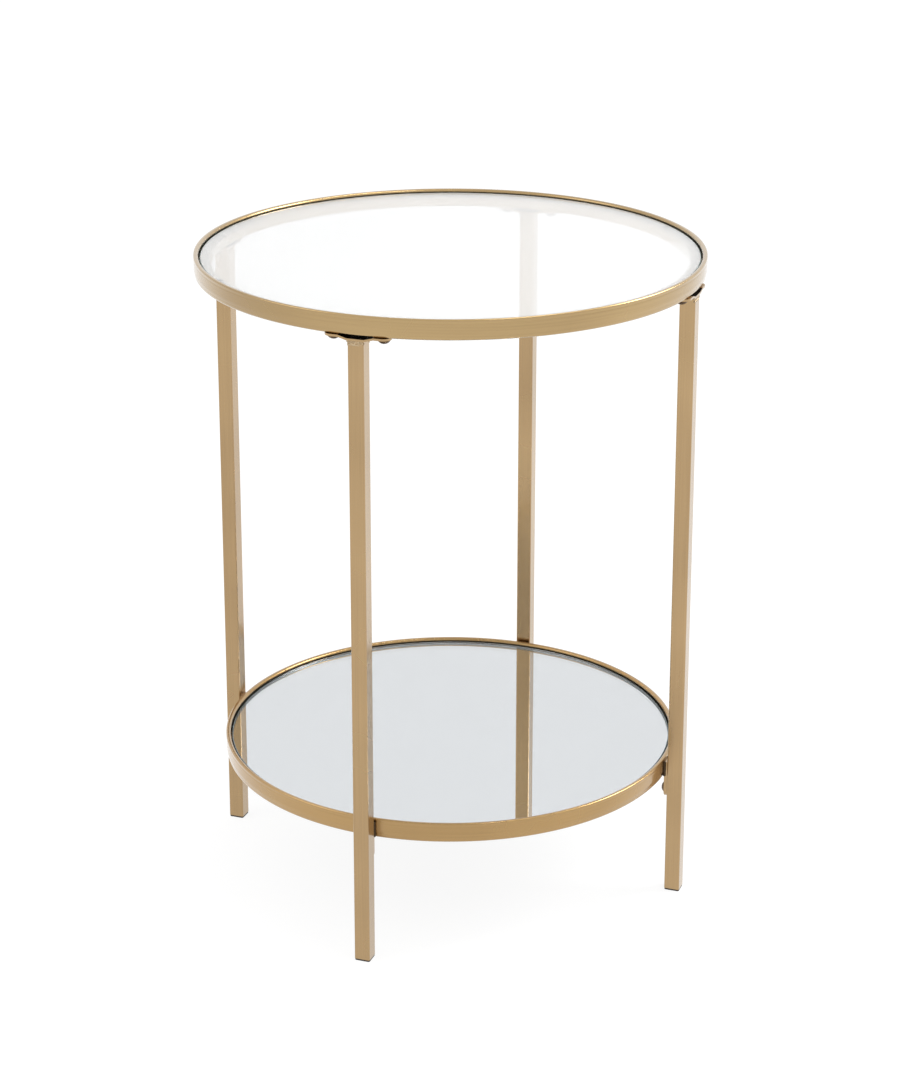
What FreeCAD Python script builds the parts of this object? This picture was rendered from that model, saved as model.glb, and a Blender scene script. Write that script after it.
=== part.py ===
import FreeCAD, Part
import Sketcher
import math
import os
import re

# Round two-tier side table: a hollow rolled steel ring with a glass disc on top, a smaller ring with a
# mirror disc below, and four square tube legs. Millimetres, +Z up, origin on the floor at the axis.
# The legs stand at -Y (front), +X (right), +Y (back) and -X (left). Everything that repeats at the
# legs is modelled at the front leg and turned about the table's axis by its Placement.

FreeCAD.newDocument("side_table")
doc = FreeCAD.ActiveDocument


drivingSizes = [
    ("table_height", 585, "floor to the top ring's rim"),
    ("top_ring_diameter", 450, "outside of the top ring"),
    ("shelf_top_height", 130, "floor to the lower ring's rim"),
    ("ring_height", 18, "height of the rolled ring section"),
    ("ring_width", 15, "width of the rolled ring section"),
    ("ring_wall", 1.2, "sheet that the section is rolled from"),
    ("lip_thickness", 3.6, "folded upright lip that keeps the disc in"),
    ("lip_edge", 1.2, "eased outer edge of the lip's top"),
    ("ring_corner", 2.5, "bent lower corner of the section, outside"),
    ("disc_gap", 1.8, "gap round a disc inside its lip"),
    ("disc_edge_chamfer", 0.6, "seamed edge of the glass and the mirror"),
    ("glass_thickness", 5, "top glass"),
    ("glass_recess", 3, "rim down to the glass"),
    ("mirror_thickness", 5, "shelf mirror"),
    ("mirror_recess", 3, "rim down to the mirror"),
    ("pad_diameter", 7, "clear bumper under a disc"),
    ("pad_thickness", 1.0, "clear bumper under a disc"),
    ("leg_inset", 7.5, "leg's axis inside the top ring's outside"),
    ("leg_width", 14, "square tube"),
    ("leg_wall", 1.2, "square tube's wall"),
    ("leg_corner_radius", 1.2, "square tube's outer corners"),
    ("plate_length", 58, "plate on a leg's top, along the ring"),
    ("plate_margin", 0.5, "plate's flat middle beyond the leg, on each side"),
    ("plate_thickness", 1.8, "plate sheet"),
    ("plate_bow", 2.2, "how far the plate's middle stands below its ends"),
    ("plate_end_flat", 0.2, "straight bit in the middle of a plate's rounded end"),
    ("plate_screw_inset", 7, "screw's axis from the plate's end"),
    ("plate_screw_diameter", 6, "thread's outside"),
    ("plate_screw_head_diameter", 12, "pan head"),
    ("plate_screw_head_crown", 6, "flat top of the dome"),
    ("plate_screw_head_height", 4.4, "pan head"),
    ("plate_screw_past_nut", 0.8, "screw's end past its nut"),
    ("head_clearance", 0.5, "screw's head to the plate's bend"),
    ("ring_nut_width", 10, "hexagon across flats"),
    ("ring_nut_height", 5, "hexagon weld nut"),
    ("tab_thickness", 3, "bracket tab between lower ring and leg"),
    ("tab_width", 12, "bracket tab"),
    ("tab_drop", 20, "tab's end below the lower ring"),
    ("tab_top_inset", 3, "tab's top below the lower ring's rim"),
    ("shelf_bolt_drop", 12, "bolt's axis below the lower ring"),
    ("shelf_bolt_diameter", 6, "thread's outside"),
    ("shelf_bolt_head_diameter", 11, "dome head"),
    ("shelf_bolt_head_crown", 6, "flat top of the dome"),
    ("shelf_bolt_head_height", 3.4, "dome head"),
    ("shelf_bolt_length", 12, "under the head"),
    ("leg_nut_wall", 1.45, "rivet nut's barrel"),
    ("leg_nut_bulge", 1, "rivet nut's bulge behind the tube wall, on the radius"),
    ("leg_nut_bulge_length", 2, "rivet nut's bulge behind the tube wall"),
    ("leg_nut_end_gap", 2.8, "rivet nut's end to the leg's far wall"),
    ("screw_clearance", 0.25, "hole round a screw, on the radius"),
    ("thread_clearance", 0.05, "nut bore round a thread, on the radius"),
    ("nut_clearance", 0.05, "hole round a rivet nut, on the radius"),
    ("foot_flange", 1.5, "plug's flange under the tube's end"),
    ("foot_flange_inset", 0.2, "flange inside the tube's outline"),
    ("foot_corner_radius", 1.4, "flange's corners"),
    ("foot_core_gap", 1.1, "plug's core to the tube's inside"),
    ("foot_core_length", 11, "plug's core inside the tube"),
    ("foot_rib_thickness", 1.2, "ribs that grip the tube"),
    ("foot_rib_pitch", 3.2, "ribs' spacing"),
    ("foot_rib_clearance", 0.05, "ribs to the tube's inside"),
]

# Sizes that follow from the driving ones, as formulas of the sheet.
derivedSizes = [
    ("top_ring_radius", "=top_ring_diameter / 2"),
    ("leg_radius", "=top_ring_radius - leg_inset"),
    ("shelf_ring_radius", "=leg_radius - leg_width / 2 - tab_thickness"),
    ("plate_width", "=leg_width + 2 * plate_margin"),
    ("plate_screw_offset", "=plate_length / 2 - plate_screw_inset"),
    ("plate_screw_radius", "=sqrt((top_ring_radius - ring_width / 2) ^ 2 - plate_screw_offset ^ 2)"),
    ("top_ring_bottom", "=table_height - ring_height"),
    ("shelf_ring_bottom", "=shelf_top_height - ring_height"),
    ("top_ledge", "=ring_height - glass_recess - glass_thickness - pad_thickness"),
    ("shelf_ledge", "=ring_height - mirror_recess - mirror_thickness - pad_thickness"),
    ("leg_top", "=top_ring_bottom - plate_bow - plate_thickness"),
    ("leg_length", "=leg_top - foot_flange"),
    ("leg_inside", "=leg_width - 2 * leg_wall"),
    ("leg_nut_radius", "=shelf_bolt_diameter / 2 + thread_clearance + leg_nut_wall"),
    ("shelf_bolt_height", "=shelf_ring_bottom - shelf_bolt_drop"),
]

sheet = doc.addObject("Spreadsheet::Sheet", "sizes")
for row, (alias, size, note) in enumerate(drivingSizes, start=1):
    sheet.set("A%d" % row, str(size))
    sheet.setAlias("A%d" % row, alias)
    sheet.set("B%d" % row, note)
for row, (alias, formula) in enumerate(derivedSizes, start=len(drivingSizes) + 1):
    sheet.set("A%d" % row, formula)
    sheet.setAlias("A%d" % row, alias)
doc.recompute()

legAngles = {"front": 0, "right": 90, "back": 180, "left": 270}
padsPerDisc = 4
padTurn = 45  # the first pad's angle, midway between two legs
ribsPerFoot = 3
tiny = 1e-6


def value(formula):
    """The sheet's value of a formula of its aliases."""
    return float(sheet.evalExpression(formula))


def bound(formula):
    """The same formula, as an expression of any other object."""
    names = {alias for alias, *_ in drivingSizes + derivedSizes}
    return re.sub("[a-z_]+", lambda word: "sizes." * (word[0] in names) + word[0], formula)


def newBody(label):
    body = doc.addObject("PartDesign::Body", label)
    body.Label = label
    body.AllowCompound = True
    return body


def plane(body, role):
    return next(f for f in body.Origin.OriginFeatures if f.Role == role)


def newSketch(body, name, role, across="0", up="0", out="0"):
    """A sketch on one of the body's own planes, moved within it and along its normal."""
    sketch = body.newObject("Sketcher::SketchObject", name)
    sketch.AttachmentSupport = [(plane(body, role), "")]
    sketch.MapMode = "FlatFace"
    for axis, formula in zip("xyz", (across, up, out)):
        if formula != "0":
            sketch.setExpression(".AttachmentOffset.Base." + axis, bound(formula))
    return sketch


def fixPoint(sketch, curve, end, formulas, axes=(0, 1)):
    """Ties a curve's point to two formulas, measured from the sketch's origin, or to one of them."""
    for axis in axes:
        kind = ("DistanceX", "DistanceY")[axis]
        index = sketch.addConstraint(Sketcher.Constraint(kind, -1, 1, curve, end, value(formulas[axis])))
        sketch.setExpression("Constraints[%d]" % index, bound(formulas[axis]))


def drawOutline(sketch, corners, arcs=None):
    """A closed outline through corners, pairs of formulas. arcs gives a round side's centre, by its number."""
    arcs = arcs or {}
    points = [FreeCAD.Vector(value(x), value(y), 0) for x, y in corners]
    following = points[1:] + points[:1]
    curves = []
    for side, (start, stop) in enumerate(zip(points, following)):
        curve = Part.LineSegment(start, stop)
        if side in arcs:
            curve = Part.Arc(start, crown(arcs[side], start, stop), stop)
        curves.append(sketch.addGeometry(curve, False))
    ends = [curveEnds(sketch, curve, start) for curve, start in zip(curves, points)]
    for side, curve in enumerate(curves):
        after = (side + 1) % len(curves)
        sketch.addConstraint(Sketcher.Constraint("Coincident", curve, ends[side][1], curves[after], ends[after][0]))
        fixPoint(sketch, curve, ends[side][0], corners[side])
    for side, centre in arcs.items():
        chord = following[side] - points[side]
        axis = 0 if abs(chord.y) > abs(chord.x) else 1
        fixPoint(sketch, curves[side], 3, centre, (axis,))


def crown(centre, start, stop):
    """The middle of the shorter arc between two points, or of the half circle on the right of its chord."""
    middle = FreeCAD.Vector(value(centre[0]), value(centre[1]), 0)
    across = (start + stop) * 0.5 - middle
    if across.Length < tiny:
        across = (stop - start).cross(FreeCAD.Vector(0, 0, 1))
    return middle + across.normalize() * (start - middle).Length


def curveEnds(sketch, curve, start):
    """A curve's two end numbers in the order that the outline runs: an arc may be stored the other way."""
    if (sketch.getPoint(curve, 1) - start).Length < tiny:
        return 1, 2
    return 2, 1


def drawCircle(sketch, x, y, radius):
    centre = FreeCAD.Vector(value(x), value(y), 0)
    curve = sketch.addGeometry(Part.Circle(centre, FreeCAD.Vector(0, 0, 1), value(radius)), False)
    fixPoint(sketch, curve, 3, (x, y))
    index = sketch.addConstraint(Sketcher.Constraint("Radius", curve, value(radius)))
    sketch.setExpression("Constraints[%d]" % index, bound(radius))


def drawRectangle(sketch, left, right, low, high):
    return drawOutline(sketch, [(left, low), (right, low), (right, high), (left, high)])


def extrude(body, kind, name, sketch, length=None, reverse=False):
    """A Pad or Pocket by a formula, or a Pocket through all where no length is given."""
    feature = body.newObject("PartDesign::" + kind, name)
    feature.Profile = sketch
    feature.Reversed = reverse
    if length is None:
        feature.Type = "ThroughAll"
    else:
        feature.setExpression("Length", bound(length))
    return feature


def revolve(body, kind, name, sketch, axis):
    feature = body.newObject("PartDesign::" + kind, name)
    feature.Profile = sketch
    feature.ReferenceAxis = (sketch, [axis])
    feature.Angle = 360
    return feature


def originLink(body, role):
    """One of the body's own axes or planes, as a pattern takes it."""
    return (plane(body, role), [""])


def polar(body, name, originals, count):
    pattern = body.newObject("PartDesign::PolarPattern", name)
    pattern.Originals = originals
    pattern.Axis = originLink(body, "Z_Axis")
    pattern.Angle = 360
    pattern.Occurrences = count
    body.Tip = pattern
    return pattern


def dressEdges(body, kind, name, base, size, wanted):
    """A Fillet or Chamfer on the edges of base that wanted picks."""
    doc.recompute()
    names = ["Edge%d" % (i + 1) for i, edge in enumerate(base.Shape.Edges) if wanted(edge)]
    feature = body.newObject("PartDesign::" + kind, name)
    feature.Base = (base, names)
    feature.setExpression("Radius" if kind == "Fillet" else "Size", bound(size))
    return feature


def isUpright(edge):
    direction = edge.Vertexes[-1].Point - edge.Vertexes[0].Point
    return math.hypot(direction.x, direction.y) < tiny < direction.Length


def place(body, height="0", turn=0):
    """Raises a body to its height and turns it about the table's axis."""
    body.Placement = FreeCAD.Placement(FreeCAD.Vector(0, 0, 0), FreeCAD.Rotation(FreeCAD.Vector(0, 0, 1), turn))
    if height != "0":
        body.setExpression(".Placement.Base.z", bound(height))
    return body


def makeRing(label, radius, ledge, bottom):
    """Rolled hollow section: an upright folded lip outside, a ledge inside it that carries a disc."""
    body = newBody(label)
    inner = "(%s - ring_width)" % radius
    lipInside = "(%s - lip_thickness)" % radius
    bend = "ring_corner * (1 - cos(45))"
    section = newSketch(body, label + "_section", "XZ_Plane")
    drawOutline(
        section,
        [
            (inner, "0"),
            (radius + " - ring_corner", "0"),
            (radius + " - " + bend, bend),
            (radius, "ring_corner"),
            (radius, "ring_height - lip_edge"),
            (radius + " - lip_edge", "ring_height"),
            (lipInside, "ring_height"),
            (lipInside, ledge),
            (inner, ledge),
        ],
    )
    revolve(body, "Revolution", label + "_rolled", section, "V_Axis")
    hollow = newSketch(body, label + "_hollow", "XZ_Plane")
    drawRectangle(
        hollow,
        inner + " + ring_wall",
        radius + " - ring_wall",
        "ring_wall",
        ledge + " - ring_wall",
    )
    revolve(body, "Groove", label + "_hollowed", hollow, "V_Axis")
    return place(body, bottom)


topRing = makeRing("top_ring", "top_ring_radius", "top_ledge", "top_ring_bottom")
shelfRing = makeRing("shelf_ring", "shelf_ring_radius", "shelf_ledge", "shelf_ring_bottom")

# Two holes over each leg for the plate's screws.
screwHoles = newSketch(topRing, "top_ring_holes", "XY_Plane")
for side in ("-", ""):
    drawCircle(
        screwHoles,
        side + " plate_screw_offset",
        "- plate_screw_radius",
        "plate_screw_diameter / 2 + screw_clearance",
    )
drilled = extrude(topRing, "Pocket", "top_ring_drilled", screwHoles, "ring_wall", True)
polar(topRing, "top_ring_hole_pattern", [drilled], len(legAngles))


def makeDisc(label, radius, thickness, height):
    body = newBody(label)
    outline = newSketch(body, label + "_outline", "XY_Plane")
    drawCircle(outline, "0", "0", radius + " - lip_thickness - disc_gap")
    sheetOfGlass = extrude(body, "Pad", label + "_blank", outline, thickness)
    dressEdges(body, "Chamfer", label + "_seamed", sheetOfGlass, "disc_edge_chamfer", lambda edge: edge.Closed)
    return place(body, height)


def makePads(label, radius, height):
    body = newBody(label)
    outline = newSketch(body, label + "_outline", "XY_Plane")
    middle = "(%s - (ring_width + lip_thickness) / 2)" % radius
    drawCircle(outline, "%s * sin(%d)" % (middle, padTurn), "- %s * cos(%d)" % (middle, padTurn), "pad_diameter / 2")
    pad = extrude(body, "Pad", label + "_one", outline, "pad_thickness")
    polar(body, label + "_round", [pad], padsPerDisc)
    return place(body, height)


makeDisc("top_glass", "top_ring_radius", "glass_thickness", "table_height - glass_recess - glass_thickness")
makeDisc(
    "shelf_mirror", "shelf_ring_radius", "mirror_thickness", "shelf_top_height - mirror_recess - mirror_thickness"
)
makePads("glass_pads", "top_ring_radius", "top_ring_bottom + top_ledge")
makePads("mirror_pads", "shelf_ring_radius", "shelf_ring_bottom + shelf_ledge")


def makeLeg(side, turn):
    """Square tube with a round hole in its inner wall for the rivet nut."""
    label = "leg_" + side
    body = newBody(label)
    outside = newSketch(body, label + "_outside", "XY_Plane", up="- leg_radius")
    half = "leg_width / 2"
    drawRectangle(outside, "- " + half, half, "- " + half, half)
    bar = extrude(body, "Pad", label + "_bar", outside, "leg_length")
    dressEdges(body, "Fillet", label + "_corners", bar, "leg_corner_radius", isUpright)
    inside = newSketch(body, label + "_inside", "XY_Plane", up="- leg_radius")
    half = "leg_inside / 2"
    drawRectangle(inside, "- " + half, half, "- " + half, half)
    extrude(body, "Pocket", label + "_bore", inside, "leg_length", True)
    hole = newSketch(body, label + "_hole", "XZ_Plane", out="shelf_ring_radius + tab_thickness")
    drawCircle(hole, "0", "shelf_bolt_height - foot_flange", "leg_nut_radius + nut_clearance")
    extrude(body, "Pocket", label + "_drilled", hole, "leg_wall", True)
    return place(body, "foot_flange", turn)


def makeFoot(side, turn):
    """Plastic plug: a flange under the tube's end and a ribbed core that grips its inside."""
    label = "foot_" + side
    body = newBody(label)
    flange = newSketch(body, label + "_flange", "XY_Plane", up="- leg_radius")
    half = "(leg_width / 2 - foot_flange_inset)"
    drawRectangle(flange, "- " + half, half, "- " + half, half)
    flangePad = extrude(body, "Pad", label + "_flange_pad", flange, "foot_flange")
    dressEdges(body, "Fillet", label + "_corners", flangePad, "foot_corner_radius", isUpright)
    core = newSketch(body, label + "_core", "XY_Plane", up="- leg_radius")
    half = "(leg_inside / 2 - foot_core_gap)"
    drawRectangle(core, "- " + half, half, "- " + half, half)
    extrude(body, "Pad", label + "_core_pad", core, "foot_flange + foot_core_length")
    rib = newSketch(body, label + "_rib", "XY_Plane", up="- leg_radius", out="foot_flange + foot_rib_pitch / 2")
    half = "(leg_inside / 2 - foot_rib_clearance)"
    drawRectangle(rib, "- " + half, half, "- " + half, half)
    ribPad = extrude(body, "Pad", label + "_rib_pad", rib, "foot_rib_thickness")
    ribs = body.newObject("PartDesign::LinearPattern", label + "_ribs")
    ribs.Originals = [ribPad]
    ribs.Direction = originLink(body, "Z_Axis")
    ribs.Occurrences = ribsPerFoot
    ribs.setExpression("Length", bound("%d * foot_rib_pitch" % (ribsPerFoot - 1)))
    body.Tip = ribs
    return place(body, turn=turn)


def makePlate(side, turn):
    """Pressed plate: flat ends against the ring, and a middle that stands off it and carries the leg."""
    label = "plate_" + side
    body = newBody(label)
    profile = newSketch(body, label + "_profile", "XZ_Plane", out="leg_radius - plate_width / 2")
    end = "plate_length / 2"
    seat = "(plate_screw_offset - plate_screw_head_diameter / 2 - head_clearance)"
    land = "plate_width / 2"
    low = "- plate_bow"
    under = "- plate_thickness"
    drawOutline(
        profile,
        [
            ("- " + end, under),
            ("- " + seat, under),
            ("- " + land, low + " - plate_thickness"),
            (land, low + " - plate_thickness"),
            (seat, under),
            (end, under),
            (end, "0"),
            (seat, "0"),
            (land, low),
            ("- " + land, low),
            ("- " + seat, "0"),
            ("- " + end, "0"),
        ],
    )
    blank = extrude(body, "Pad", label + "_pressed", profile, "plate_width")
    reach = value(end)
    dressEdges(
        body,
        "Fillet",
        label + "_rounded",
        blank,
        "(plate_width - plate_end_flat) / 2",
        lambda edge: isUpright(edge) and abs(abs(edge.Vertexes[0].X) - reach) < tiny,
    )
    holes = newSketch(body, label + "_holes", "XY_Plane", up="- plate_screw_radius")
    for hand in ("-", ""):
        drawCircle(holes, hand + " plate_screw_offset", "0", "plate_screw_diameter / 2 + screw_clearance")
    extrude(body, "Pocket", label + "_drilled", holes, None)
    return place(body, "top_ring_bottom", turn)


def makeScrews(label):
    """Low dome-head screws, drawn once and repeated at both ends of each plate."""
    body = newBody(label)
    profile = newSketch(
        body,
        label + "_profile",
        "XZ_Plane",
        across="plate_screw_offset",
        up="- plate_thickness",
        out="plate_screw_radius",
    )
    length = "plate_thickness + ring_wall + ring_nut_height + plate_screw_past_nut"
    drawOutline(
        profile,
        [
            ("0", length),
            ("0", "- plate_screw_head_height"),
            ("plate_screw_head_crown / 2", "- plate_screw_head_height"),
            ("plate_screw_head_diameter / 2", "0"),
            ("plate_screw_diameter / 2", "0"),
            ("plate_screw_diameter / 2", length),
        ],
    )
    screw = revolve(body, "Revolution", label + "_one", profile, "V_Axis")
    repeatAtPlates(body, label, screw)
    return place(body, "top_ring_bottom")


def makeRingNuts(label):
    """Hexagon weld nuts standing on the inside of the ring's floor, over the plates' screws."""
    body = newBody(label)
    outline = newSketch(
        body, label + "_outline", "XY_Plane", across="plate_screw_offset", up="- plate_screw_radius"
    )
    corner = "ring_nut_width / 2 / cos(30) * "
    turns = range(0, 360, 60)
    drawOutline(outline, [(corner + "cos(%d)" % turn, corner + "sin(%d)" % turn) for turn in turns])
    drawCircle(outline, "0", "0", "plate_screw_diameter / 2 + thread_clearance")
    nut = extrude(body, "Pad", label + "_one", outline, "ring_nut_height")
    repeatAtPlates(body, label, nut)
    return place(body, "top_ring_bottom + ring_wall")


def repeatAtPlates(body, label, feature):
    """Mirrors a feature to the plate's other end and turns the pair to all four legs."""
    both = body.newObject("PartDesign::MultiTransform", label + "_all")
    mirror = body.newObject("PartDesign::Mirrored", label + "_mirror")
    mirror.MirrorPlane = originLink(body, "YZ_Plane")
    turn = body.newObject("PartDesign::PolarPattern", label + "_turn")
    turn.Axis = originLink(body, "Z_Axis")
    turn.Angle = 360
    turn.Occurrences = len(legAngles)
    both.Originals = [feature]
    both.Transformations = [mirror, turn]
    body.Tip = both


def makeTab(side, turn):
    """Flat bar on the ring's outside, hanging below it, with a round end and a bolt hole."""
    label = "tab_" + side
    body = newBody(label)
    outline = newSketch(body, label + "_outline", "XZ_Plane", out="shelf_ring_radius")
    half = "tab_width / 2"
    roundCentre = "tab_width / 2 - tab_drop"
    drawOutline(
        outline,
        [
            ("- " + half, "ring_height - tab_top_inset"),
            ("- " + half, roundCentre),
            (half, roundCentre),
            (half, "ring_height - tab_top_inset"),
        ],
        {1: ("0", roundCentre)},
    )
    drawCircle(outline, "0", "- shelf_bolt_drop", "shelf_bolt_diameter / 2 + screw_clearance")
    extrude(body, "Pad", label + "_bar", outline, "tab_thickness")
    return place(body, "shelf_ring_bottom", turn)


def makeBolts(label):
    """Dome-head bolts, entered from inside the ring of legs, along the radius."""
    body = newBody(label)
    profile = newSketch(body, label + "_profile", "YZ_Plane", across="- shelf_ring_radius")
    drawOutline(
        profile,
        [
            ("- shelf_bolt_length", "0"),
            ("shelf_bolt_head_height", "0"),
            ("shelf_bolt_head_height", "shelf_bolt_head_crown / 2"),
            ("0", "shelf_bolt_head_diameter / 2"),
            ("0", "shelf_bolt_diameter / 2"),
            ("- shelf_bolt_length", "shelf_bolt_diameter / 2"),
        ],
    )
    bolt = revolve(body, "Revolution", label + "_one", profile, "H_Axis")
    polar(body, label + "_round", [bolt], len(legAngles))
    return place(body, "shelf_bolt_height")


def makeLegNuts(label):
    """Rivet nuts set flush in the legs' inner walls, with the bulge that holds them behind the wall."""
    body = newBody(label)
    profile = newSketch(body, label + "_profile", "YZ_Plane", across="- (shelf_ring_radius + tab_thickness)")
    bore = "shelf_bolt_diameter / 2 + thread_clearance"
    barrel = "leg_nut_radius"
    end = "leg_nut_end_gap + leg_wall - leg_width"
    drawOutline(
        profile,
        [
            ("0", bore),
            ("0", barrel),
            ("- leg_wall", barrel),
            ("- leg_wall", barrel + " + leg_nut_bulge"),
            ("- leg_wall - leg_nut_bulge_length", barrel),
            (end, barrel),
            (end, bore),
        ],
    )
    nut = revolve(body, "Revolution", label + "_one", profile, "H_Axis")
    polar(body, label + "_round", [nut], len(legAngles))
    return place(body, "shelf_bolt_height")


for legSide, angle in legAngles.items():
    makeLeg(legSide, angle)
    makeFoot(legSide, angle)
    makePlate(legSide, angle)
    makeTab(legSide, angle)
makeScrews("plate_screws")
makeRingNuts("ring_nuts")
makeBolts("shelf_bolts")
makeLegNuts("leg_nuts")


doc.recompute()
for item in doc.Objects:
    if "Invalid" in item.State or "Error" in item.State:
        raise RuntimeError("%s did not compute: %s" % (item.Name, item.State))
    # A cut that points away from the metal removes nothing and a pattern that misses adds nothing.
    changes = ("Pocket", "Groove", "Pattern", "MultiTransform")
    if item.TypeId.endswith(changes) and item.BaseFeature:
        if abs(item.Shape.Volume - item.BaseFeature.Shape.Volume) < tiny:
            raise RuntimeError(item.Label + " changes nothing")
subParts = [item for item in doc.Objects if item.TypeId == "PartDesign::Body"]
os.makedirs("parts", exist_ok=True)
for item in subParts:
    if item.Shape.isNull() or not item.Shape.isValid():
        raise RuntimeError(item.Label + " has no valid shape")
for item in subParts:
    item.Shape.exportStep("parts/%s.step" % item.Label)
    box = item.Shape.BoundBox
    print(
        "%-14s %2d solids %10.1f mm3  z %.2f to %.2f"
        % (item.Label, len(item.Shape.Solids), item.Shape.Volume, box.ZMin, box.ZMax)
    )
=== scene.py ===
import math

import bmesh
import bpy
from mathutils import Matrix, Vector


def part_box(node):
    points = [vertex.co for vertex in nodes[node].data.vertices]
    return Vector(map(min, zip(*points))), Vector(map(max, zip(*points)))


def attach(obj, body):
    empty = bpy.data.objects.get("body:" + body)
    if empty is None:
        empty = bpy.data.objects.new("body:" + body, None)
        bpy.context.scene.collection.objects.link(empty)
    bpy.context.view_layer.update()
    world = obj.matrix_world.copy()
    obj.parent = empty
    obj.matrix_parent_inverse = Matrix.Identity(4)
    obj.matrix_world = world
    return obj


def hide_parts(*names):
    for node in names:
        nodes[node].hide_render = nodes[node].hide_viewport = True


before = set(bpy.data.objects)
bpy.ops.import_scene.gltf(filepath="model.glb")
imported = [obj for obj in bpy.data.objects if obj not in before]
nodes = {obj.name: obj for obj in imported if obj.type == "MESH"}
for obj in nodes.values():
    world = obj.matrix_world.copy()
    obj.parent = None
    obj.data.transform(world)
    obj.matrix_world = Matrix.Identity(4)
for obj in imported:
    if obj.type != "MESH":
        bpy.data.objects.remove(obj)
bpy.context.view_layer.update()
mm = 0.001
legTurns = {"front": 0, "right": 90, "back": 180, "left": 270}  # degrees from -Y, towards +X


# Adds a node, sets its properties, plain values and incoming links.
def linked(tree, kind, values=None, links=None, **settings):
    node = tree.nodes.new(kind)
    for name, setting in settings.items():
        setattr(node, name, setting)
    for socket, value in (values or {}).items():
        node.inputs[socket].default_value = value
    for socket, source in (links or {}).items():
        tree.links.new(source, node.inputs[socket])
    return node


def mathNode(tree, operation, first, second, third=None):
    parts = {0: first, 1: second}
    if third is not None:
        parts[2] = third
    plain = {slot: part for slot, part in parts.items() if isinstance(part, (int, float))}
    wired = {slot: part for slot, part in parts.items() if slot not in plain}
    return linked(tree, "ShaderNodeMath", plain, wired, operation=operation).outputs[0]


# An empty node group with named sockets; inputs maps a name to its type and default.
def newGroup(name, kind, inputs, outputs):
    tree = bpy.data.node_groups.new(name, kind)
    for socket, (socketType, default) in inputs.items():
        item = tree.interface.new_socket(socket, in_out="INPUT", socket_type=socketType)
        if default is not None:
            item.default_value = default
    for socket, socketType in outputs.items():
        tree.interface.new_socket(socket, in_out="OUTPUT", socket_type=socketType)
    return tree, tree.nodes.new("NodeGroupInput"), tree.nodes.new("NodeGroupOutput")


# Fine lines that run along X of the vector they are given, and a slow drift of tone.
def makeBrushedGrain():
    tree, source, result = newGroup(
        "brushedGrain",
        "ShaderNodeTree",
        {
            "Vector": ("NodeSocketVector", None),
            "Lines": ("NodeSocketFloat", 1600.0),
            "Length": ("NodeSocketFloat", 14.0),
            "Drift": ("NodeSocketFloat", 9.0),
        },
        {"Height": "NodeSocketFloat", "Tone": "NodeSocketFloat"},
    )
    across = source.outputs["Lines"]
    stretches = {"X": source.outputs["Length"], "Y": across, "Z": across}
    stretch = linked(tree, "ShaderNodeCombineXYZ", links=stretches)
    scaled = linked(
        tree,
        "ShaderNodeVectorMath",
        links={0: source.outputs["Vector"], 1: stretch.outputs[0]},
        operation="MULTIPLY",
    )
    lines = linked(
        tree,
        "ShaderNodeTexNoise",
        {"Scale": 1.0, "Detail": 1.5, "Roughness": 0.6},
        {"Vector": scaled.outputs[0]},
    )
    drift = linked(
        tree,
        "ShaderNodeTexNoise",
        {"Detail": 2.0, "Roughness": 0.5},
        {"Vector": source.outputs["Vector"], "Scale": source.outputs["Drift"]},
    )
    mixed = mathNode(tree, "MULTIPLY_ADD", lines.outputs["Fac"], 0.5, drift.outputs["Fac"])
    tree.links.new(lines.outputs["Fac"], result.inputs["Height"])
    tree.links.new(mathNode(tree, "SUBTRACT", mixed, 0.75), result.inputs["Tone"])
    return tree


# Object coordinates turned to distance round the table, distance from its axis, and height.
def makeAroundRing():
    tree, source, result = newGroup(
        "aroundRing",
        "ShaderNodeTree",
        {"Vector": ("NodeSocketVector", None), "Radius": ("NodeSocketFloat", 0.22)},
        {"Vector": "NodeSocketVector"},
    )
    parts = linked(tree, "ShaderNodeSeparateXYZ", links={0: source.outputs["Vector"]})
    angle = mathNode(tree, "ARCTAN2", parts.outputs["Y"], parts.outputs["X"])
    arc = mathNode(tree, "MULTIPLY", angle, source.outputs["Radius"])
    flat = linked(
        tree,
        "ShaderNodeVectorMath",
        {1: (1, 1, 0)},
        {0: source.outputs["Vector"]},
        operation="MULTIPLY",
    )
    reach = linked(tree, "ShaderNodeVectorMath", links={0: flat.outputs[0]}, operation="LENGTH")
    joined = linked(
        tree,
        "ShaderNodeCombineXYZ",
        links={"X": arc, "Y": reach.outputs["Value"], "Z": parts.outputs["Z"]},
    )
    tree.links.new(joined.outputs[0], result.inputs["Vector"])
    return tree


# Soft patches where a cloth or a hand has passed, for surfaces that are otherwise clean.
def makeHandMarks():
    tree, source, result = newGroup(
        "handMarks",
        "ShaderNodeTree",
        {
            "Vector": ("NodeSocketVector", None),
            "Size": ("NodeSocketFloat", 14.0),
            "Low": ("NodeSocketFloat", 0.0),
            "High": ("NodeSocketFloat", 0.1),
        },
        {"Value": "NodeSocketFloat"},
    )
    patches = linked(
        tree,
        "ShaderNodeTexNoise",
        {"Detail": 2.0, "Roughness": 0.5},
        {"Vector": source.outputs["Vector"], "Scale": source.outputs["Size"]},
    )
    spread = linked(
        tree,
        "ShaderNodeMapRange",
        {"From Min": 0.35, "From Max": 0.75},
        {
            "Value": patches.outputs["Fac"],
            "To Min": source.outputs["Low"],
            "To Max": source.outputs["High"],
        },
    )
    tree.links.new(spread.outputs["Result"], result.inputs["Value"])
    return tree


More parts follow.
